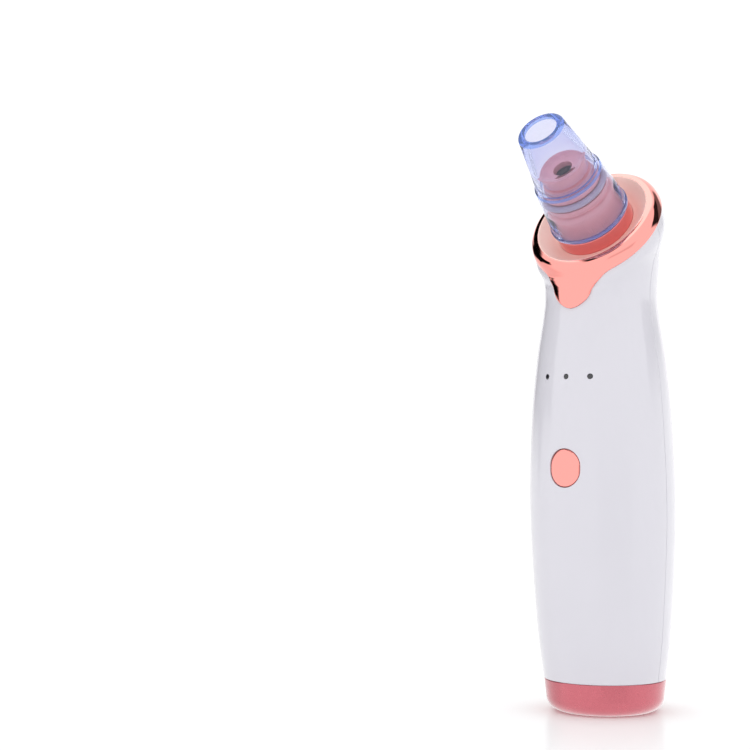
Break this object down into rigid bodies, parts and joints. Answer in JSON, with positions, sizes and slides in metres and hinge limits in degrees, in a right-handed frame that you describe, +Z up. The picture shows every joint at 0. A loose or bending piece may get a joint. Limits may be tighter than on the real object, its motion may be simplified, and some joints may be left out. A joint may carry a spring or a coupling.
{
  "type": "blackhead vacuum extractor",
  "caption": "Handheld skin-care suction device with a tilted head, a clear pull-off tip, an oval button, light windows and a pump, cell and board inside.",
  "frame": {"origin": "centre of the flat underside of the bottom cap", "axes": "+Z up along the handle, -Y towards the front with the button and the lights, +X to the right as seen from the front"},
  "size_m": [0.045, 0.0624, 0.1816],
  "materials": {
    "white_shell": "high gloss",
    "rose_red_cap": "metallic gloss",
    "rose_gold_plating": "mirror-bright vacuum plating on moulded plastic",
    "rose_boss": "metallic gloss",
    "grey_silicone": "satin",
    "foam": "open foam",
    "clear_tip": "clear tinted polycarbonate",
    "dark_lens": "gloss",
    "circuit_board": "solder mask",
    "black_plastic": "matt",
    "pale_plastic": "satin",
    "grey_plastic": "satin",
    "bright_steel": "bright",
    "battery_wrap": "shrink wrap",
    "red_wire": "satin",
    "black_wire": "satin",
    "black_rubber": "matt",
    "pale_silicone": "satin"
  },
  "bodies": {
    "handle": {"front_shell": "white_shell", "rear_shell": "white_shell", "bottom_cap": "rose_red_cap", "head_ring": "rose_gold_plating", "suction_boss": "rose_boss", "boss_collar": "rose_boss", "boss_flange": "rose_boss", "boss_seal": "grey_silicone", "filter_sponge": "foam", "led_lens_left": "dark_lens", "led_lens_middle": "dark_lens", "led_lens_right": "dark_lens", "main_board": "circuit_board", "tact_switch": "black_plastic", "status_leds": "pale_plastic", "control_chip": "black_plastic", "charge_chip": "black_plastic", "usb_socket": "bright_steel", "board_screws": "bright_steel", "battery_cell": "battery_wrap", "battery_pad": "foam", "battery_lead_red": "red_wire", "battery_lead_black": "black_wire", "motor_can": "bright_steel", "motor_end_cap": "black_plastic", "motor_lead_red": "red_wire", "motor_lead_black": "black_wire", "wobble_plate": "pale_plastic", "pump_diaphragm": "black_rubber", "valve_plate": "grey_plastic", "pump_base": "grey_plastic", "pump_cover": "grey_plastic", "motor_screws": "bright_steel", "pump_screws": "bright_steel", "pump_sleeve": "foam", "intake_tube": "pale_silicone"},
    "tip": {"suction_tip": "clear_tip"},
    "button": {"power_button": "rose_gold_plating"},
    "plunger": {"switch_plunger": "pale_plastic"},
    "rotor": {"motor_shaft": "bright_steel", "pump_eccentric": "pale_plastic"}
  },
  "joints": [
    {"name": "tip_pull", "type": "slide", "parent": "handle", "child": "tip", "axis": [0, -0.766, 0.6428], "range_m": [0, 0.022]},
    {"name": "button_press", "type": "slide", "parent": "handle", "child": "button", "axis": [0, 1, 0], "range_m": [0, 0.0004], "stiffness_N_per_m": 1500},
    {"name": "plunger_press", "type": "slide", "parent": "handle", "child": "plunger", "axis": [0, 1, 0], "range_m": [0, 0.0004]},
    {"name": "motor_spin", "type": "hinge", "parent": "handle", "child": "rotor", "pos_m": [0, 0.002, 0.098], "axis": [0, 0, 1], "continuous": true}
  ],
  "couplings": [
    {"joint": "plunger_press", "follows": "button_press", "ratio": 1}
  ]
}
